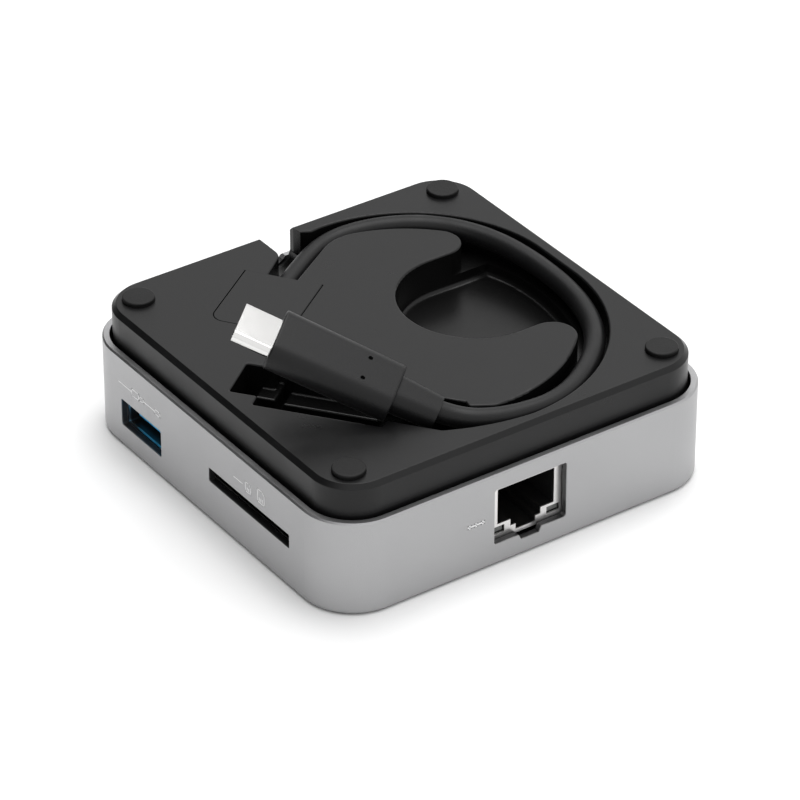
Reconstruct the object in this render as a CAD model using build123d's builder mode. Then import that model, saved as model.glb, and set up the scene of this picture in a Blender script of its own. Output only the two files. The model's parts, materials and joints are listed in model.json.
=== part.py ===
from build123d import *
import os
from math import cos, pi, radians, sin, tan

# A small square laptop dock with a captive cable, lying with its feet and its cable side up.
# z = 0 is the outer face of its aluminium top. The front, -Y, has the network jack, and the left,
# -X, has the type A port and the card slot. All sizes are in millimetres.

os.makedirs("parts", exist_ok=True)

# Aluminium housing
side = 80.0
housing_height = 18.5
corner_radius = 10.0
wall = 1.25
floor = 1.5

# Base cover, standing proud of the housing
cover_gap = 0.6
cover_side = side - 2 * (wall + cover_gap)
cover_radius = corner_radius - wall - cover_gap
cover_top = 24.8
skirt_bottom = 16.0
skin = 1.4
edge_bevel = 0.8
edge_round = 0.35

# Recesses of the base cover, by the height of their floors
channel_floor = 19.8
scoop_floor = 17.6
pocket_floor = 17.2
ledge_top = 18.6
tip_rest_top = 20.3
scoop_centre = (16.6, 0.2)
scoop_radius = 13.9
scoop_mouth = (scoop_centre[1] - scoop_radius, scoop_centre[1] + scoop_radius)
horn_radius = 4.3
notch_centre = -0.4
notch_radius = 3.4
notch_axis_z = 20.5

# Screws and feet
screw_spots = [(x, y) for x in (-32.5, 32.5) for y in (-32.5, 32.5)]
boss_top = 14.0
head_seat = 20.6
foot_radius = 2.9
foot_height = 0.8
foot_seat = 0.4

# Circuit board, hanging its ports towards the aluminium
board_bottom = 11.2
board_top = 12.4
board_posts = [(-19.0, 31.5), (20.0, 31.0), (25.0, -29.0), (-13.5, -32.5)]

# Ports: centre along the wall, and centre height
jack_x, jack_z = -0.575, 9.925
jack_opening = (15.05, 11.05)
type_a_y, type_a_z = 20.625, 7.25
card_y, card_z = -13.4, 9.6
video_y, video_z = 14.0, 8.25
type_c_y, type_c_z = -12.0, 9.4

# Captive cable
cable_radius = 1.9
cable_route = [
    (-10.2, 22.58, 21.8), (-1.9, 28.44, 22.0), (7.4, 32.9, 22.7), (17.0, 31.25, 23.2),
    (25.6, 25.7, 23.5), (31.4, 16.6, 23.35), (33.35, 4.6, 23.1), (32.7, -9.0, 22.75),
    (27.8, -20.9, 22.65), (18.4, -29.3, 22.8), (9.8, -33.0, 23.0), (1.0, -33.1, 23.2),
    (-5.0, -31.2, 23.1), (-8.49, -28.49, 23.35), (-10.42, -26.5, 24.5),
]

# Plug, lying across its pocket: it rises towards its tip and leans over to its near side
plug_turn = radians(134.2)
plug_rise = radians(22.6)
plug_lean = radians(14.3)
relief_length = 7.8
overmold_length = 22.2
overmold_tip_width = 11.9
overmold_rear_width = 11.3
overmold_thickness = 6.2
shell_length = 6.7
shell_size = (8.25, 2.4)

# The pocket's own directions: local x runs to the plug's tip, local y to the near side
pocket_plane = Plane(origin=(-10.5, -26.5, 0), x_dir=(-0.613, 0.790, 0), z_dir=(0, 0, 1))

# The plug's own directions: local z runs to its tip, local x across its width
plug_axis = Vector(cos(plug_turn) * cos(plug_rise), sin(plug_turn) * cos(plug_rise), sin(plug_rise))
plug_side = Vector(-sin(plug_turn), cos(plug_turn), 0)
plug_width = plug_side * cos(plug_lean) - plug_axis.cross(plug_side) * sin(plug_lean)
plug_plane = Plane(origin=cable_route[-1], x_dir=plug_width, z_dir=plug_axis)
dot_plane = Plane(origin=plug_plane.from_local_coords((0, overmold_thickness / 2, relief_length + 6.3)),
                  x_dir=plug_width, z_dir=plug_plane.y_dir)

# The cable cover's own directions: local x runs out along the cable
hatch_plane = Plane(origin=(0, 0, 0), x_dir=(0.816, 0.578, 0), z_dir=(0, 0, 1))


def area(x0, x1, y0, y1, mode=Mode.ADD):
    """A rectangle given by its limits."""
    with Locations(((x0 + x1) / 2, (y0 + y1) / 2)):
        Rectangle(x1 - x0, y1 - y0, mode=mode)


def block(x0, x1, y0, y1, z0, z1, mode=Mode.ADD):
    """A box given by its limits."""
    with Locations(((x0 + x1) / 2, (y0 + y1) / 2, (z0 + z1) / 2)):
        Box(x1 - x0, y1 - y0, z1 - z0, mode=mode)


def arc_radii(points):
    """The largest tangent arc that suits each inner point of a route."""
    radii = []
    for before, here, after in zip(points, points[1:], points[2:]):
        run_in, run_out = Vector(*here) - Vector(*before), Vector(*after) - Vector(*here)
        half_turn = radians(run_in.get_angle(run_out)) / 2
        radii.append(0.45 * min(run_in.length, run_out.length) / tan(half_turn))
    return radii


def is_recess_rim(edge):
    """True for an edge that is neither on the cover's outline nor in its back notch."""
    return all(abs(v.X) < 37.0 and abs(v.Y) < 37.0 for v in edge.vertices())


# ---------------------------------------------------------------- aluminium housing
with BuildPart() as aluminium_housing:
    with BuildSketch():
        RectangleRounded(side, side, corner_radius)
    extrude(amount=housing_height)
    fillet(aluminium_housing.faces().sort_by(Axis.Z)[0].edges(), 1.0)
    chamfer(aluminium_housing.faces().sort_by(Axis.Z)[-1].edges(), 0.3)
    with BuildSketch(Plane.XY.offset(floor)):
        RectangleRounded(side - 2 * wall, side - 2 * wall, corner_radius - wall)
    extrude(amount=housing_height, mode=Mode.SUBTRACT)
    with BuildSketch(Plane.XY.offset(floor)):
        with Locations(*screw_spots):
            Circle(3.0)
    extrude(amount=boss_top - floor)
    with BuildSketch(Plane.XY.offset(floor)):
        with Locations(*board_posts):
            Circle(2.2)
    extrude(amount=board_bottom - floor)
    # The pedestal that takes the hub chip's heat
    block(5.0, 17.0, -9.0, 3.0, floor, 8.8)
    with Locations(*[(x, y, boss_top) for x, y in screw_spots]):
        Hole(0.95, depth=9.0)
    with Locations(*[(x, y, board_bottom) for x, y in board_posts]):
        Hole(0.75, depth=6.0)
    # Network jack opening with its latch notch
    with BuildSketch(Plane.XZ.offset(side / 2)):
        with Locations((jack_x, jack_z)):
            RectangleRounded(*jack_opening, 0.5)
        with BuildLine():
            Polyline((jack_x - 2.5, 4.6), (jack_x - 1.85, 3.35), (jack_x + 1.85, 3.35),
                     (jack_x + 2.5, 4.6), close=True)
        make_face()
    extrude(amount=-2 * wall, mode=Mode.SUBTRACT)
    # Type A port and card slot openings
    with BuildSketch(Plane.YZ.offset(-side / 2)):
        with Locations((type_a_y, type_a_z)):
            RectangleRounded(12.85, 5.4, 0.4)
        with Locations((card_y, card_z)):
            RectangleRounded(24.6, 2.8, 0.3)
    extrude(amount=2 * wall, mode=Mode.SUBTRACT)
    # Video port and type C port openings
    with BuildSketch(Plane.YZ.offset(side / 2)):
        with Locations((video_y, video_z)):
            RectangleRounded(14.9, 5.5, 0.6)
        with Locations((type_c_y, type_c_z)):
            RectangleRounded(9.2, 3.4, 1.69)
    extrude(amount=-2 * wall, mode=Mode.SUBTRACT)
    # Cable notch in the back rim
    with BuildSketch(Plane.XZ.offset(-side / 2)):
        with Locations((notch_centre, notch_axis_z)):
            Circle(notch_radius)
    extrude(amount=2 * wall, mode=Mode.SUBTRACT)

# ---------------------------------------------------------------- base cover
# Corners that the outlines share: where the channel leaves the pocket, and under the bridge
pocket_mouth, pocket_corner = (pocket_plane.from_local_coords(point)
                               for point in ((-2.4, 4.8, 0), (-3.64, -4.6, 0)))
bridge_low, bridge_back = (hatch_plane.from_local_coords((u, 21.6, 0)) for u in (7.7, -5.0))
tunnel_low, tunnel_high = (hatch_plane.from_local_coords((6.0, v, 0)) for v in (21.6, 27.0))

# The disc that the cable is wound round; the finger scoop and its mouth leave the raised island
with BuildSketch() as winding_disc:
    with BuildLine():
        Polyline((-1.0, -30.35), (-4.9, -27.9), pocket_corner, (-6.87, -23.68), (-34.0, 0.0),
                 bridge_back, bridge_low, (6.8, 30.45))
        ThreePointArc((6.8, 30.45), (23.42, 22.52), (31.34, 5.5))
        ThreePointArc((31.34, 5.5), (30.95, -4.0), (28.76, -12.6))
        ThreePointArc((28.76, -12.6), (20.0, -23.87), (-1.0, -30.35))
    make_face()
    for corner, radius in (((6.8, 30.45), 9.0), ((-1.0, -30.35), 3.0), ((-4.9, -27.9), 0.8)):
        fillet(winding_disc.vertices().sort_by_distance(corner)[0], radius)

with BuildSketch() as scoop_reach:
    with Locations(scoop_centre):
        Circle(scoop_radius)
    area(scoop_centre[0], 42.0, *scoop_mouth)

with BuildSketch() as scoop:
    add(winding_disc.sketch)
    add(scoop_reach.sketch, mode=Mode.INTERSECT)

with BuildSketch() as island:
    add(winding_disc.sketch)
    add(scoop_reach.sketch, mode=Mode.SUBTRACT)
    horns = island.vertices().filter_by(lambda v: 26 < v.X < 31 and abs(v.Y) < 15)
    fillet(horns, horn_radius)

# The channel's whole outline, from the plug pocket round to the bridge
with BuildSketch() as channel:
    with BuildLine():
        ThreePointArc(pocket_mouth, (-5.4, -34.3), (3.25, -35.75))
        ThreePointArc((3.25, -35.75), (24.0, -27.73), (35.35, -2.7))
        Line((35.35, -2.7), (35.35, 6.6))
        ThreePointArc((35.35, 6.6), (27.13, 26.43), (7.3, 34.65))
        Polyline((7.3, 34.65), (5.1, 34.4), (3.4, 35.4), (3.0, 37.1), (3.0, 41.0),
                 (-3.8, 41.0), (-3.8, 31.0), tunnel_high, tunnel_low, pocket_mouth)
    make_face()
    fillet(channel.vertices().sort_by_distance((-3.8, 31.0))[0], 3.0)
    add(island.sketch, mode=Mode.SUBTRACT)

with BuildSketch(pocket_plane) as pocket:
    area(-2.4, 7.5, -4.6, 4.8)
    area(7.4, 30.4, -7.3, 6.9)
    area(30.3, 35.4, -4.96, 4.1)
    fillet(pocket.vertices().group_by(Axis.X)[1:], 0.5)

with BuildSketch(hatch_plane) as hatch_recess:
    area(-9.5, 7.7, 16.6, 31.45)
    fillet(hatch_recess.vertices().group_by(Axis.X)[0], 2.5)

with BuildSketch(hatch_plane) as tunnel:
    area(-8.4, 7.7, 21.6, 27.0)

hatch_seat = cover_top - 1.0
open_recesses = [(channel, channel_floor), (scoop, scoop_floor), (pocket, pocket_floor)]
hatch_recesses = [(hatch_recess, hatch_seat), (tunnel, channel_floor)]

# The hollow under the cover, with a skin left round every recess and screw column
with BuildPart() as hollow:
    with BuildSketch(Plane.XY.offset(skirt_bottom)):
        RectangleRounded(cover_side - 2 * skin, cover_side - 2 * skin, cover_radius - skin)
        with Locations(*screw_spots):
            Circle(3.1, mode=Mode.SUBTRACT)
    extrude(amount=cover_top - skin - skirt_bottom)
    for shape, shape_floor in open_recesses + hatch_recesses:
        with BuildSketch(Plane.XY.offset(shape_floor - skin)):
            add(shape.sketch)
            offset(amount=skin)
        extrude(amount=cover_top, mode=Mode.SUBTRACT)
    with BuildSketch(Plane.XZ.offset(-26.0)):
        with Locations((notch_centre, notch_axis_z)):
            Circle(notch_radius + 1.2)
    extrude(amount=-20.0, mode=Mode.SUBTRACT)

with BuildPart() as base_cover:
    with BuildSketch(Plane.XY.offset(skirt_bottom)):
        RectangleRounded(cover_side, cover_side, cover_radius)
    extrude(amount=cover_top - skirt_bottom)
    chamfer(base_cover.faces().sort_by(Axis.Z)[-1].edges(), edge_bevel)
    fillet(base_cover.edges().filter_by_position(Axis.Z, cover_top - edge_bevel, cover_top), 0.12)
    for shape, shape_floor in open_recesses:
        with BuildSketch(Plane.XY.offset(shape_floor)):
            add(shape.sketch)
        extrude(amount=cover_top, mode=Mode.SUBTRACT)
    top_rims = base_cover.edges().filter_by_position(Axis.Z, cover_top, cover_top)
    fillet(top_rims.filter_by(is_recess_rim), edge_round)
    fillet(base_cover.edges().filter_by_position(Axis.Z, scoop_floor, scoop_floor), 1.0)
    for shape, shape_floor in hatch_recesses:
        with BuildSketch(Plane.XY.offset(shape_floor)):
            add(shape.sketch)
        extrude(amount=cover_top, mode=Mode.SUBTRACT)
    # Cable notch, a round-bottomed trough out through the back wall
    with BuildSketch(Plane.XZ.offset(-28.5)):
        with Locations((notch_centre, notch_axis_z)):
            Circle(notch_radius)
    extrude(amount=-12.0, mode=Mode.SUBTRACT)
    # Ledge and tip rest that the plug lies on when it is pressed home
    with BuildSketch(pocket_plane.offset(pocket_floor)):
        area(11.5, 28.5, -7.35, -3.6)
    extrude(amount=ledge_top - pocket_floor)
    with BuildSketch(pocket_plane.offset(pocket_floor)):
        area(29.3, 32.9, -7.35, -1.85)
    extrude(amount=tip_rest_top - pocket_floor)
    fillet(base_cover.edges().filter_by_position(Axis.Z, ledge_top, ledge_top), 0.4)
    fillet(base_cover.edges().filter_by_position(Axis.Z, tip_rest_top, tip_rest_top), 0.4)
    add(hollow.part, mode=Mode.SUBTRACT)
    # Screw holes with counterbores, and the feet's seats
    with Locations(*[(x, y, cover_top) for x, y in screw_spots]):
        CounterBoreHole(1.2, foot_radius + 0.05, foot_seat, depth=cover_top)
        Hole(2.1, depth=cover_top - head_seat)
    # The screw columns reach down to the housing's bosses
    with BuildSketch(Plane.XY.offset(boss_top)):
        with Locations(*screw_spots):
            Circle(3.1)
            Circle(1.2, mode=Mode.SUBTRACT)
    extrude(amount=skirt_bottom - boss_top)
    # The cable's way down through the tunnel's floor
    with BuildSketch(hatch_plane.offset(skirt_bottom - 1)):
        area(-8.2, -1.4, 21.8, 26.8)
    extrude(amount=channel_floor - skirt_bottom + 2, mode=Mode.SUBTRACT)

# ---------------------------------------------------------------- cable cover, feet and screws
with BuildPart() as cable_cover:
    with BuildSketch(hatch_plane.offset(hatch_seat)) as hatch_outline:
        area(-9.4, 7.68, 16.85, 31.35)
        fillet(hatch_outline.vertices().group_by(Axis.X)[0], 2.4)
    extrude(amount=cover_top - hatch_seat)
    top_edges = cable_cover.faces().sort_by(Axis.Z)[-1].edges()
    chamfer(top_edges.sort_by(Axis(hatch_plane.origin, hatch_plane.x_dir))[:-1], 0.12)

feet = {}
for place, (x, y) in zip(("back_left", "front_left", "back_right", "front_right"),
                         [(-32.5, 32.5), (-32.5, -32.5), (32.5, 32.5), (32.5, -32.5)]):
    with BuildPart(Plane(origin=(x, y, cover_top - foot_seat))) as foot:
        Cylinder(foot_radius, foot_seat + foot_height, align=(Align.CENTER, Align.CENTER, Align.MIN))
        fillet(foot.faces().sort_by(Axis.Z)[-1].edges(), 0.25)
    feet["foot_" + place] = foot

with BuildPart() as base_screws:
    with BuildSketch(Plane.XY.offset(head_seat)):
        with Locations(*screw_spots):
            Circle(1.9)
    extrude(amount=1.4)
    with BuildSketch(Plane.XY.offset(head_seat)):
        with Locations(*screw_spots):
            Circle(0.95)
    extrude(amount=-14.0)

with BuildPart() as board_screws:
    with BuildSketch(Plane.XY.offset(board_top)):
        with Locations(*board_posts):
            Circle(1.6)
    extrude(amount=1.1)
    with BuildSketch(Plane.XY.offset(board_top)):
        with Locations(*board_posts):
            Circle(0.75)
    extrude(amount=-6.5)

# ---------------------------------------------------------------- circuit board and its parts
with BuildPart() as main_board:
    with BuildSketch(Plane.XY.offset(board_bottom)):
        RectangleRounded(73.0, 73.0, 6.5)
        with Locations(*screw_spots):
            Circle(3.6, mode=Mode.SUBTRACT)
        area(jack_x - 8.3, jack_x + 8.3, -40.0, -21.0, mode=Mode.SUBTRACT)
        with Locations(*board_posts):
            Circle(0.85, mode=Mode.SUBTRACT)
    extrude(amount=board_top - board_bottom)

with BuildPart() as hub_chip:
    block(6.0, 16.0, -8.0, 2.0, 10.2, board_bottom)

with BuildPart() as thermal_pad:
    block(5.5, 16.5, -8.5, 2.5, 8.8, 10.2)

with BuildPart() as network_chip:
    block(12.0, 19.0, -30.0, -23.0, 10.3, board_bottom)

with BuildPart() as power_chip:
    block(21.0, 26.0, -18.5, -13.5, 10.4, board_bottom)

with BuildPart() as network_transformer:
    block(-7.0, 5.8, -19.0, -9.5, board_top, 15.0)

with BuildPart() as clock_crystal:
    block(-14.0, -10.8, -6.0, -3.5, board_top, 13.2)

with BuildPart() as shield_can:
    block(-6.0, 14.0, 8.0, 24.0, board_top, 15.0)
    offset(amount=-0.25, openings=shield_can.faces().sort_by(Axis.Z)[0], mode=Mode.REPLACE)

with BuildPart() as power_inductors:
    with Locations(*[(x, y, board_top) for x, y in ((22.0, -22.0), (28.5, -20.5), (26.0, 0.0))]):
        Box(4.6, 4.6, 2.4, align=(Align.CENTER, Align.CENTER, Align.MIN))
    fillet(power_inductors.edges().filter_by(Axis.Z), 0.8)

with BuildPart() as capacitors:
    with Locations(*[(x, y, board_top) for x, y in ((-24, -10), (-24, -15), (-30, 8), (20, 24), (31, 6))]):
        Cylinder(1.9, 2.6, align=(Align.CENTER, Align.CENTER, Align.MIN))

with BuildPart(hatch_plane) as cable_connector:
    block(-9.2, -3.6, 19.5, 29.1, board_top, 15.2)

# ---------------------------------------------------------------- network jack
# The mouth with its latch steps, and the two windows below it
with BuildPart() as jack_mouth:
    for half_width, z0, z1 in ((5.9, 7.2, 14.2), (3.15, 5.9, 7.3), (2.05, 4.8, 6.0)):
        block(jack_x - half_width, jack_x + half_width, -38.6, -25.5, z0, z1)
    for side_sign in (-1, 1):
        x_near, x_far = sorted((jack_x + side_sign * 4.4, jack_x + side_sign * 7.1))
        block(x_near, x_far, -38.6, -24.0, 5.3, 6.7)

# The shield folds round the body's front
with BuildPart() as jack_shield:
    block(jack_x - 7.9, jack_x + 7.9, -38.6, -21.4, 4.0, 15.75)
    block(jack_x - 7.6, jack_x + 7.6, -38.3, -21.7, 4.3, 15.45, mode=Mode.SUBTRACT)
    add(jack_mouth.part, mode=Mode.SUBTRACT)

with BuildPart() as jack_body:
    block(jack_x - 7.6, jack_x + 7.6, -38.3, -21.7, 4.3, 15.45)
    add(jack_mouth.part, mode=Mode.SUBTRACT)

light_pipes = {}
for place, side_sign in (("left", -1), ("right", 1)):
    x_near, x_far = sorted((jack_x + side_sign * 4.45, jack_x + side_sign * 7.05))
    with BuildPart() as light_pipe:
        block(x_near, x_far, -38.2, -24.0, 5.35, 6.65)
        fillet(light_pipe.faces().sort_by(Axis.Y)[0].edges(), 0.25)
    light_pipes["light_pipe_" + place] = light_pipe

with BuildPart() as jack_contacts:
    for number in range(8):
        with BuildSketch(Plane.YZ.offset(jack_x + (number - 3.5) * 1.02)):
            with BuildLine():
                Polyline((-36.6, 14.15), (-25.6, 14.15), (-25.6, 13.85), (-35.6, 13.85),
                         (-29.2, 12.05), (-29.2, 11.75), (-36.6, 13.85), close=True)
            make_face()
        extrude(amount=0.2, both=True)

# ---------------------------------------------------------------- type A port
with BuildPart() as type_a_shell:
    with BuildSketch(Plane.YZ.offset(-38.65)):
        with Locations((type_a_y, type_a_z)):
            RectangleRounded(13.1, 5.72, 0.6)
            RectangleRounded(12.5, 5.12, 0.35, mode=Mode.SUBTRACT)
    extrude(amount=13.6)
    for y0 in (type_a_y - 6.55, type_a_y + 6.25):
        block(-33.0, -31.2, y0, y0 + 0.3, type_a_z + 2.2, board_bottom)

with BuildPart() as type_a_insulator:
    block(-37.0, -28.0, type_a_y - 5.5, type_a_y + 5.5, 5.55, 7.4)
    fillet(type_a_insulator.edges().filter_by(Axis.Y).group_by(Axis.X)[0], 0.4)
    block(-28.0, -25.2, type_a_y - 6.1, type_a_y + 6.1, 4.8, 9.7)

with BuildPart() as type_a_contacts:
    for offset_y in (-3.5, -1.0, 1.0, 3.5):
        block(-34.8, -28.0, type_a_y + offset_y - 0.5, type_a_y + offset_y + 0.5, 7.4, 7.6)
    for offset_y in (-4.0, -2.0, 0.0, 2.0, 4.0):
        block(-36.3, -35.2, type_a_y + offset_y - 0.3, type_a_y + offset_y + 0.3, 7.4, 7.5)

# ---------------------------------------------------------------- card socket
with BuildPart() as card_socket_body:
    block(-38.3, -11.5, card_y - 14.0, card_y + 14.0, 8.1, board_bottom)
    block(-38.3, -13.0, card_y - 12.15, card_y + 12.15, 8.1, 10.75, mode=Mode.SUBTRACT)

with BuildPart() as card_socket_cover:
    block(-38.5, -11.5, card_y - 14.25, card_y + 14.25, 7.85, board_bottom)
    block(-38.5, -11.5, card_y - 14.0, card_y + 14.0, 8.1, board_bottom, mode=Mode.SUBTRACT)

with BuildPart() as card_contacts:
    for number in range(9):
        y = card_y - 10.0 + 2.5 * number
        block(-20.0, -13.0, y - 0.4, y + 0.4, 10.45, 10.75)

# ---------------------------------------------------------------- video port and type C port
with BuildPart() as video_port_shell:
    with BuildSketch(Plane.YZ.offset(38.65)):
        with Locations((video_y, video_z)):
            RectangleRounded(15.2, 5.8, 0.6)
            RectangleRounded(14.5, 5.1, 0.4, mode=Mode.SUBTRACT)
    extrude(amount=-12.0)
    for y0 in (video_y - 7.6, video_y + 7.25):
        block(30.0, 31.6, y0, y0 + 0.35, video_z + 2.2, board_bottom)

with BuildPart() as video_port_insulator:
    block(26.9, 29.4, video_y - 7.15, video_y + 7.15, video_z - 2.45, video_z + 2.45)
    block(29.4, 36.6, video_y - 5.6, video_y + 5.6, video_z - 0.6, video_z + 0.6)
    fillet(video_port_insulator.edges().filter_by(Axis.Y).group_by(Axis.X)[-1], 0.3)

with BuildPart() as type_c_port_shell:
    with BuildSketch(Plane.YZ.offset(38.65)):
        with Locations((type_c_y, type_c_z)):
            RectangleRounded(8.94, 3.2, 1.55)
            RectangleRounded(8.4, 2.62, 1.3, mode=Mode.SUBTRACT)
    extrude(amount=-7.6)

with BuildPart() as type_c_port_insulator:
    block(31.2, 33.0, type_c_y - 3.2, type_c_y + 3.2, type_c_z - 1.25, type_c_z + 1.25)
    block(33.0, 38.0, type_c_y - 3.2, type_c_y + 3.2, type_c_z - 0.35, type_c_z + 0.35)

# ---------------------------------------------------------------- captive cable and plug
with BuildPart(hatch_plane) as cable_gland:
    block(-0.9, 4.7, 21.7, 26.9, channel_floor, hatch_seat)
    fillet(cable_gland.edges().filter_by(Axis.Z), 0.4)

lead_route = [hatch_plane.from_local_coords(point) for point in
              ((-0.9, 24.32, 21.8), (-4.2, 24.32, 21.8), (-6.4, 24.32, 18.8), (-6.4, 24.32, 15.2))]
with BuildPart() as inner_lead:
    with BuildLine() as lead_line:
        FilletPolyline(*lead_route, radius=arc_radii(lead_route))
    with BuildSketch(Plane(origin=lead_line.line @ 0, z_dir=lead_line.line % 0)):
        Circle(1.2)
    sweep()

with BuildPart() as cable:
    with BuildLine() as cable_line:
        FilletPolyline(*cable_route, radius=arc_radii(cable_route))
    with BuildSketch(Plane(origin=cable_line.line @ 0, z_dir=cable_line.line % 0)):
        Circle(cable_radius)
    sweep()

overmold_start = relief_length
shell_start = relief_length + overmold_length
with BuildPart() as plug_strain_relief:
    with BuildSketch(plug_plane):
        RectangleRounded(6.3, 4.9, 2.3)
    with BuildSketch(plug_plane.offset(relief_length)):
        RectangleRounded(7.2, 5.0, 2.3)
    loft()

with BuildPart() as plug_overmold:
    with BuildSketch(plug_plane.offset(overmold_start)):
        RectangleRounded(overmold_rear_width, overmold_thickness, 2.9)
    with BuildSketch(plug_plane.offset(shell_start)):
        RectangleRounded(overmold_tip_width, overmold_thickness, 2.9)
    loft()
    ends = plug_overmold.faces().sort_by(Axis(plug_plane.origin, plug_plane.z_dir))
    fillet(ends[0].edges() + ends[-1].edges(), 0.4)
    # Two small moulded holes in its top
    with BuildSketch(dot_plane):
        with Locations((-2.35, 0), (2.35, 0)):
            Circle(0.42)
    extrude(amount=-0.6, mode=Mode.SUBTRACT)

with BuildPart() as plug_shell:
    with BuildSketch(plug_plane.offset(shell_start)):
        RectangleRounded(*shell_size, 1.19)
    extrude(amount=shell_length)
    with BuildSketch(plug_plane.offset(shell_start)):
        RectangleRounded(shell_size[0] - 0.5, shell_size[1] - 0.5, 0.94)
    extrude(amount=shell_length, mode=Mode.SUBTRACT)

with BuildPart() as plug_insulator:
    with BuildSketch(plug_plane.offset(shell_start)):
        RectangleRounded(shell_size[0] - 0.5, shell_size[1] - 0.5, 0.94)
    extrude(amount=shell_length - 0.4)
    with BuildSketch(plug_plane.offset(shell_start + 1.0)):
        RectangleRounded(6.7, 0.7, 0.34)
    extrude(amount=shell_length, mode=Mode.SUBTRACT)

# ---------------------------------------------------------------- output
pieces = {
    "aluminium_housing": aluminium_housing, "base_cover": base_cover, "cable_cover": cable_cover,
    **feet, "base_screws": base_screws, "board_screws": board_screws, "main_board": main_board,
    "hub_chip": hub_chip, "thermal_pad": thermal_pad, "network_chip": network_chip,
    "power_chip": power_chip, "network_transformer": network_transformer,
    "clock_crystal": clock_crystal, "shield_can": shield_can, "power_inductors": power_inductors,
    "capacitors": capacitors, "cable_connector": cable_connector, "jack_shield": jack_shield,
    "jack_body": jack_body, **light_pipes, "jack_contacts": jack_contacts,
    "type_a_shell": type_a_shell, "type_a_insulator": type_a_insulator,
    "type_a_contacts": type_a_contacts, "card_socket_body": card_socket_body,
    "card_socket_cover": card_socket_cover, "card_contacts": card_contacts,
    "video_port_shell": video_port_shell, "video_port_insulator": video_port_insulator,
    "type_c_port_shell": type_c_port_shell, "type_c_port_insulator": type_c_port_insulator,
    "cable_gland": cable_gland, "inner_lead": inner_lead, "cable": cable,
    "plug_strain_relief": plug_strain_relief, "plug_overmold": plug_overmold,
    "plug_shell": plug_shell, "plug_insulator": plug_insulator,
}
for name, piece in pieces.items():
    piece.part.label = name
    export_step(piece.part, f"parts/{name}.step")

section = pi * cable_radius ** 2
cable_length = sum(edge.length for edge in cable_line.edges())
print("cable radii:", [round(radius, 1) for radius in arc_radii(cable_route)])
print("cable length:", round(cable_length, 2))
print("cable volume:", round(cable.part.volume, 2), "section x length:",
      round(section * cable_length, 2))
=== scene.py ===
import json
from math import cos, radians, sin

import bmesh
import bpy
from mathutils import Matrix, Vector


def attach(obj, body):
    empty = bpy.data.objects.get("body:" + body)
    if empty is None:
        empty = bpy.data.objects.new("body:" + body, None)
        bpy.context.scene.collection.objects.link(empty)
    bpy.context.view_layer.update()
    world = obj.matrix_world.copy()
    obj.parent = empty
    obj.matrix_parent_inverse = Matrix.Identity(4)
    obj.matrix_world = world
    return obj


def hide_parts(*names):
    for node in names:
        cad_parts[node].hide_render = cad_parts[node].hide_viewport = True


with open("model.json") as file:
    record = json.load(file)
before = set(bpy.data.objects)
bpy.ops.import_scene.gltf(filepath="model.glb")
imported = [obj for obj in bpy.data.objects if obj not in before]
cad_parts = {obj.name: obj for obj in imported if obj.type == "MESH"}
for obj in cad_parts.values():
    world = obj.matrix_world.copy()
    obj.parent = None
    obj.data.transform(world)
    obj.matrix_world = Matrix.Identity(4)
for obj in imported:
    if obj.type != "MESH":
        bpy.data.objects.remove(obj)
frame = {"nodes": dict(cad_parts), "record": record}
nodes = frame["nodes"]
slot_of = {part["node"]: part["material_slot"] for part in frame["record"]["subparts"]}


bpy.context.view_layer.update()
MM = 0.001


def show(name, data):
    """A new object in the scene."""
    thing = bpy.data.objects.new(name, data)
    bpy.context.scene.collection.objects.link(thing)
    return thing


# ---------------------------------------------------------------- camera
CAMERA_TURN, CAMERA_TILT = radians(-34.87), radians(32.97)
CAMERA_AIM = Vector((0, 0, 12.4)) * MM
CAMERA_REACH = 794.8 * MM
LENS, SENSOR_WIDTH = 205.07, 36
SHIFT_X, SHIFT_Y = 0.0027, -0.0197

camera_data = bpy.data.cameras.new("camera")
camera_data.lens, camera_data.sensor_width = LENS, SENSOR_WIDTH
camera_data.shift_x, camera_data.shift_y = SHIFT_X, SHIFT_Y
camera = show("camera", camera_data)
toward_camera = Vector((sin(CAMERA_TURN) * cos(CAMERA_TILT), -cos(CAMERA_TURN) * cos(CAMERA_TILT),
                        sin(CAMERA_TILT)))
camera.location = CAMERA_AIM + toward_camera * CAMERA_REACH
camera.rotation_euler = (-toward_camera).to_track_quat("-Z", "Y").to_euler()
bpy.context.scene.camera = camera

# ---------------------------------------------------------------- captive cable
# The route of the cable's solid: out from under its cover, round the channel and up to the plug.
# The last five points were fitted to the cable's seen outline, up to 0.8 mm off the solid's own
CABLE_ROUTE = [
    (-0.01020, 0.02258, 0.02180), (-0.00190, 0.02844, 0.02200), (0.00740, 0.03290, 0.02270),
    (0.01700, 0.03125, 0.02320), (0.02560, 0.02570, 0.02350), (0.03140, 0.01660, 0.02335),
    (0.03335, 0.00460, 0.02310), (0.03270, -0.00900, 0.02275), (0.02780, -0.02090, 0.02265),
    (0.01840, -0.02930, 0.02280), (0.00980, -0.03315, 0.02280), (0.00105, -0.03308, 0.02328),
    (-0.00485, -0.03092, 0.02350), (-0.00815, -0.02815, 0.02392), (-0.01014, -0.02643, 0.02482),
]
CABLE_DIAMETER = 3.8 * MM

cable_curve = bpy.data.curves.new("cable_jacket", "CURVE")
cable_curve.dimensions = "3D"
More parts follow.
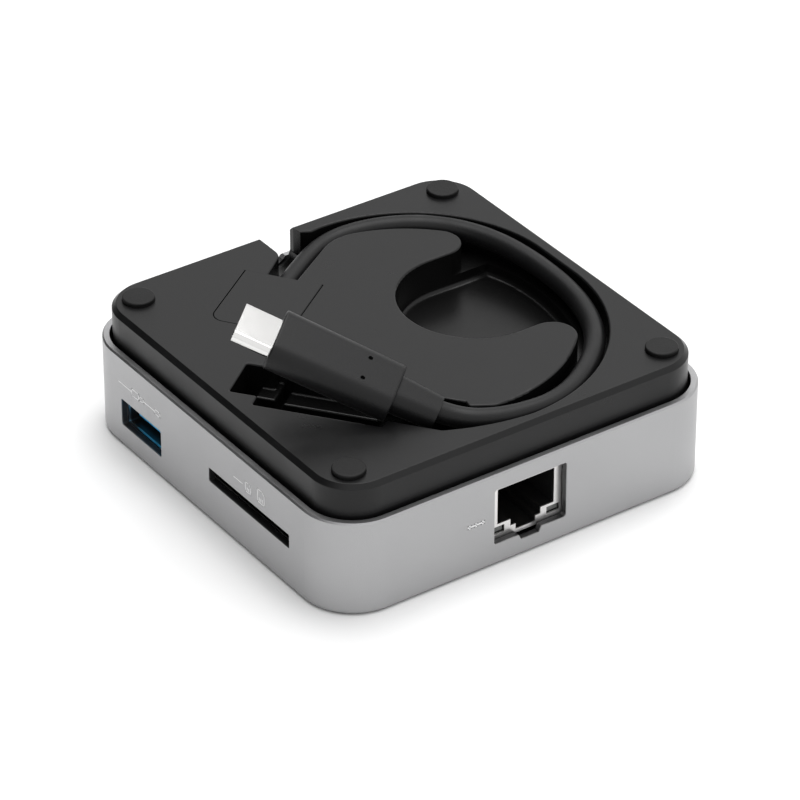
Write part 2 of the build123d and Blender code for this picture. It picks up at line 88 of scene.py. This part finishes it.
# The points carry the thickness, because a curve's box is padded by the radius of its points
cable_curve.bevel_depth = 1.0
cable_curve.bevel_resolution = 10
cable_curve.resolution_u = 24
cable_spline = cable_curve.splines.new("NURBS")
cable_spline.points.add(len(CABLE_ROUTE) - 1)
for point, place in zip(cable_spline.points, CABLE_ROUTE):
    point.co = (*place, 1)
    point.radius = CABLE_DIAMETER / 2
cable_spline.order_u = 3
cable_spline.use_endpoint_u = True
cable = show("cable_jacket", cable_curve)
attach(cable, "root")
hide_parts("cable")


# ---------------------------------------------------------------- node helpers
def feed(tree, socket, value):
    """Gives a socket another node's output or a plain value."""
    if isinstance(value, bpy.types.NodeSocket):
        tree.links.new(value, socket)
    else:
        socket.default_value = value


def maths(tree, operation, *values):
    node = tree.nodes.new("ShaderNodeMath")
    node.operation = operation
    for socket, value in zip(node.inputs, values):
        feed(tree, socket, value)
    return node.outputs[0]


def ramp(tree, value, start, end, low, high, run="LINEAR"):
    """low up to where value is start, and high from where it is end."""
    node = tree.nodes.new("ShaderNodeMapRange")
    node.interpolation_type = run
    feed(tree, node.inputs["Value"], value)
    for socket, limit in zip(("From Min", "From Max", "To Min", "To Max"), (start, end, low, high)):
        node.inputs[socket].default_value = limit
    return node.outputs["Result"]


def mix(tree, kind, share, first, second):
    """first where share is 0, and second where it is 1."""
    node = tree.nodes.new("ShaderNodeMix")
    node.data_type = kind
    for socket, value in (("Factor", share), ("A", first), ("B", second)):
        feed(tree, node.inputs[socket], value)
    return node.outputs["Result"]


def opaque(colour):
    return (*[min(1, max(0, channel)) for channel in colour], 1)


# ---------------------------------------------------------------- materials
# Half width of the square whose corners are the centres of the dock's rounded corners
CORE = 30 * MM
# Half of the width over which the painted shade within the dock gives way to the outside's look
BLUR = 0.05 * MM
# The range that holds most of a noise's values
NOISE_LOW, NOISE_HIGH = 0.3, 0.7
SMOOTHEST = 0.02


# The region within the dock where surface() paints a darker colour as shade
def painted_shade_mask(tree, place, reach, top):
    """1 where a place is within the dock's rounded outline and below top, both in millimetres.

    reach is how far the outline lies past CORE, round the corners too.
    """
    def within(value, limit):
        return ramp(tree, value, limit * MM - BLUR, limit * MM + BLUR, 1, 0)

    axes = tree.nodes.new("ShaderNodeSeparateXYZ")
    feed(tree, axes.inputs["Vector"], place)
    squares = []
    for axis in "XY":
        past = maths(tree, "SUBTRACT", maths(tree, "ABSOLUTE", axes.outputs[axis]), CORE)
        squares.append(maths(tree, "POWER", maths(tree, "MAXIMUM", past, 0.0), 2.0))
    distance = maths(tree, "SQRT", maths(tree, "ADD", *squares))
    return maths(tree, "MULTIPLY", within(distance, reach), within(axes.outputs["Z"], top))


def surface(name, colour, rough, metal=0.0, grain=0.3, bump=0.15, mottle=0.08, patch=9.0,
            gloss_spread=0.05, specular=0.5, stretch=(1, 1, 1), see_through=0.0, painted_shade=None):
    """A surface with grain in its relief, faint mottling in its colour and uneven gloss.

    grain and patch are sizes in millimetres; stretch lengthens the grain along an axis. The last
    argument gives the colour and roughness of a darker region within the dock, and its reach and
    top.
    The real parts have one colour: the darker colour there is painted shade.
    """
    material = bpy.data.materials.new(name)
    material.use_nodes = True
    tree = material.node_tree
    shader = tree.nodes["Principled BSDF"]
    shader.inputs["Metallic"].default_value = metal
    shader.inputs["Specular IOR Level"].default_value = specular
    shader.inputs["Transmission Weight"].default_value = see_through

    place = tree.nodes.new("ShaderNodeTexCoord").outputs["Object"]
    scaled = tree.nodes.new("ShaderNodeMapping")
    scaled.inputs["Scale"].default_value = [1 / (MM * along) for along in stretch]
    feed(tree, scaled.inputs["Vector"], place)

    def noise(size, detail):
        node = tree.nodes.new("ShaderNodeTexNoise")
        node.inputs["Scale"].default_value = 1 / size
        node.inputs["Detail"].default_value = detail
        feed(tree, node.inputs["Vector"], scaled.outputs["Vector"])
        return node.outputs["Fac"]

    fine, broad = noise(grain, detail=2), noise(patch, detail=4)
    average = maths(tree, "MULTIPLY_ADD", fine, 0.5, maths(tree, "MULTIPLY", broad, 0.5))
    tint = mix(tree, "RGBA", average, opaque([channel * (1 - mottle) for channel in colour]),
               opaque([channel * (1 + mottle) for channel in colour]))
    gloss = ramp(tree, broad, NOISE_LOW, NOISE_HIGH, max(SMOOTHEST, rough - gloss_spread),
                 min(1.0, rough + gloss_spread))
    # Painted shade: within the dock the colour is darker, standing in for the shade there
    if painted_shade:
        shade_colour, shade_rough, reach, top = painted_shade
        mask = painted_shade_mask(tree, place, reach, top)
        tint = mix(tree, "RGBA", mask, tint, opaque(shade_colour))
        gloss = mix(tree, "FLOAT", mask, gloss, shade_rough)
    feed(tree, shader.inputs["Base Color"], tint)
    feed(tree, shader.inputs["Roughness"], gloss)

    relief = tree.nodes.new("ShaderNodeBump")
    relief.inputs["Strength"].default_value = bump
    relief.inputs["Distance"].default_value = grain * MM
    feed(tree, relief.inputs["Height"], fine)
    feed(tree, shader.inputs["Normal"], relief.outputs["Normal"])
    return material


finishes = {
    # Painted shade: the aluminium is darker on its walls and floor within the dock, below 17.9 mm
    "aluminium": surface("anodised_aluminium", (0.385, 0.385, 0.39), 0.42, metal=1.0, grain=0.16,
                         bump=0.22, mottle=0.05, patch=14,
                         painted_shade=((0.09, 0.09, 0.092), 0.5, 9.8, 17.9)),
    # Painted shade: the black plastic is darker on the recess walls and floors below its top face
    "black_plastic": surface("matt_black_plastic", (0.0055, 0.0055, 0.0057), 0.32, grain=0.2,
                             bump=0.1, specular=0.27,
                             painted_shade=((0.003, 0.003, 0.003), 0.26, 7.6, 24.5)),
    # Painted shade: the feet are darker on their sides and in their recesses, below their top face
    "foot_rubber": surface("foot_rubber", (0.006, 0.006, 0.006), 0.5, specular=0.22,
                           painted_shade=((0.002, 0.002, 0.002), 0.6, 7.6, 25.35)),
    "screw_steel": surface("blackened_screw_steel", (0.12, 0.12, 0.13), 0.35, metal=1.0, grain=0.2),
    "board": surface("green_solder_mask", (0.02, 0.13, 0.06), 0.3, grain=0.5, patch=3, mottle=0.2),
    "chip": surface("chip_package", (0.025, 0.025, 0.027), 0.55, grain=0.12, bump=0.3),
    "pad": surface("thermal_silicone", (0.42, 0.47, 0.6), 0.8, grain=0.4, bump=0.4),
    # Painted shade: the tinned sheet, such as the jack's shield, is darker within the dock's
    # outline
    "bright_metal": surface("tinned_sheet", (0.7, 0.69, 0.68), 0.3, metal=1.0, grain=0.12, bump=0.1,
                            stretch=(1, 4, 1), painted_shade=((0.1, 0.1, 0.1), 0.4, 8.25, 30.0)),
    "ferrite": surface("ferrite", (0.09, 0.09, 0.09), 0.7, grain=0.2, bump=0.4),
    "capacitor": surface("capacitor_can", (0.7, 0.7, 0.7), 0.35, metal=1.0),
    "ivory_plastic": surface("ivory_nylon", (0.72, 0.67, 0.55), 0.5),
    "jack_plastic": surface("black_nylon", (0.007, 0.007, 0.007), 0.45, grain=0.2, specular=0.25),
    "light_pipe": surface("clear_light_pipe", (0.16, 0.165, 0.16), 0.15, see_through=0.3,
                          bump=0.03),
    "contact_gold": surface("gold_contacts", (0.82, 0.62, 0.28), 0.25, metal=1.0, grain=0.1,
                            bump=0.05),
    "blue_plastic": surface("blue_nylon", (0.02, 0.42, 0.8), 0.35, grain=0.25, bump=0.08),
    "gland_rubber": surface("gland_rubber", (0.015, 0.015, 0.015), 0.65),
    "cable_jacket": surface("cable_jacket", (0.006, 0.006, 0.0063), 0.45, grain=0.35, bump=0.06,
                            specular=0.28, patch=5),
    "plug_plastic": surface("plug_plastic", (0.006, 0.006, 0.0063), 0.38, grain=0.2, bump=0.14,
                            specular=0.25),
    "plug_steel": surface("nickel_plated_steel", (0.74, 0.735, 0.725), 0.09, metal=1.0, grain=0.1,
                          bump=0.03, gloss_spread=0.03),
}
for name, node in nodes.items():
    node.data.materials.clear()
    node.data.materials.append(finishes[slot_of[name]])
cable_curve.materials.append(finishes["cable_jacket"])

# ---------------------------------------------------------------- printed pictograms
INK_PROUD, INK_SUNK = 0.015, 0.02
ink = surface("pale_print_ink", (0.78, 0.78, 0.78), 0.6, grain=0.12, bump=0.1, patch=2)


def printed_mark(name, origin, along, out, outlines, width):
    """A pictogram in one thin layer of ink: outlines is a list of point lists, in millimetres."""
    mesh = bmesh.new()
    origin, along, out, up = Vector(origin), Vector(along), Vector(out), Vector((0, 0, 1))
    for points in outlines:
        for start, end in zip(points, points[1:]):
            start, end = Vector(start), Vector(end)
            way = (end - start).normalized() * width / 2
            side = Vector((-way.y, way.x))
            corners = [start - way + side, start - way - side, end + way - side, end + way + side]
            loops = []
            for depth in (-INK_SUNK, INK_PROUD):
                loops.append([mesh.verts.new((origin + along * c.x + up * c.y + out * depth) * MM)
                              for c in corners])
            mesh.faces.new(loops[0][::-1])
            mesh.faces.new(loops[1])
            for i in range(4):
                j = (i + 1) % 4
                mesh.faces.new((loops[0][i], loops[0][j], loops[1][j], loops[1][i]))
    bmesh.ops.recalc_face_normals(mesh, faces=mesh.faces)
    data = bpy.data.meshes.new(name)
    mesh.to_mesh(data)
    mesh.free()
    data.materials.append(ink)
    mark = show(name, data)
    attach(mark, "root")


def outline(*points):
    """A closed outline."""
    return [*points, points[0]]


def rectangle(u0, u1, v0, v1):
    return outline((u0, v0), (u1, v0), (u1, v1), (u0, v1))


left_face, left_along, left_out = (-40, 0, 0), (0, -1, 0), (-1, 0, 0)
front_face, front_along, front_out = (0, -40, 0), (1, 0, 0), (0, -1, 0)
# A lead between two plugs, over the type A port
printed_mark("type_a_port_mark", left_face, left_along, left_out,
             [rectangle(-23.4, -21.2, 12.55, 13.85), rectangle(-20.9, -19.7, 12.8, 13.6),
              [(-23.7, 13.2), (-27.6, 13.2)], [(-19.4, 13.2), (-16.2, 13.2)],
              rectangle(-15.9, -14.3, 12.75, 13.65)], width=0.22)
# A line and two cards with their contacts, over the card slot
printed_mark("card_slot_mark", left_face, left_along, left_out,
             [outline((16.3, 12.6), (18.3, 12.6), (18.3, 14.5), (17.6, 15.1), (16.3, 15.1)),
              *[[(x, 13.0), (x, 13.5)] for x in (16.8, 17.3, 17.8)],
              outline((12.6, 12.6), (14.1, 12.6), (14.1, 14.0), (13.6, 14.45), (12.6, 14.45)),
              *[[(x, 13.0), (x, 13.4)] for x in (13.1, 13.6)],
              [(9.0, 13.5), (11.6, 13.5)]], width=0.2)
# Three stations on one line, beside the network jack
printed_mark("network_jack_mark", front_face, front_along, front_out,
             [rectangle(x, x + 0.55, 9.72, 10.27) for x in (-13.5, -12.15, -10.8)]
             + [[(-12.75, 10.0), (-12.35, 10.0)], [(-11.4, 10.0), (-11.0, 10.0)]], width=0.22)

# ---------------------------------------------------------------- floor and light
FLOOR_REACH = 3.0
floor_mesh = bpy.data.meshes.new("floor")
floor_mesh.from_pydata([(-FLOOR_REACH, -FLOOR_REACH, 0), (FLOOR_REACH, -FLOOR_REACH, 0),
                        (FLOOR_REACH, FLOOR_REACH, 0), (-FLOOR_REACH, FLOOR_REACH, 0)],
                       [], [(0, 1, 2, 3)])
floor = show("floor", floor_mesh)
floor.data.materials.append(surface("pale_floor", (0.93, 0.93, 0.93), 0.8, grain=2, bump=0.0,
                                    mottle=0.005, patch=60, specular=0.1))

# White studio light all round, with a soft dark side at the back left
DARK_SIDE = Vector((-0.62, 0.68, 0.39)).normalized()
DARK_FROM, DARK_FULL = 0.36, 0.86
SKY_BRIGHT, SKY_DARK = 1.05, 0.03
world = bpy.data.worlds.new("studio")
world.use_nodes = True
sky = world.node_tree
sky_way = sky.nodes.new("ShaderNodeTexCoord")
sky_turn = sky.nodes.new("ShaderNodeVectorMath")
sky_turn.operation = "DOT_PRODUCT"
sky_turn.inputs[1].default_value = DARK_SIDE
feed(sky, sky_turn.inputs[0], sky_way.outputs["Generated"])
feed(sky, sky.nodes["Background"].inputs["Strength"],
     ramp(sky, sky_turn.outputs["Value"], DARK_FROM, DARK_FULL, SKY_BRIGHT, SKY_DARK,
          run="SMOOTHSTEP"))
sky.nodes["Background"].inputs["Color"].default_value = (1, 1, 1, 1)
bpy.context.scene.world = world
bpy.context.scene.view_settings.view_transform = "Standard"

# One square softbox overhead, a little behind the dock
SOFTBOX_PLACE = Vector((0.1, 0.15, 0.8))
SOFTBOX_SIDE, SOFTBOX_WATTS = 0.7, 5.0
softbox = bpy.data.lights.new("overhead", "AREA")
softbox.size, softbox.energy = SOFTBOX_SIDE, SOFTBOX_WATTS
lamp = show("overhead", softbox)
lamp.location = SOFTBOX_PLACE
lamp.rotation_euler = (-SOFTBOX_PLACE).to_track_quat("-Z", "Y").to_euler()
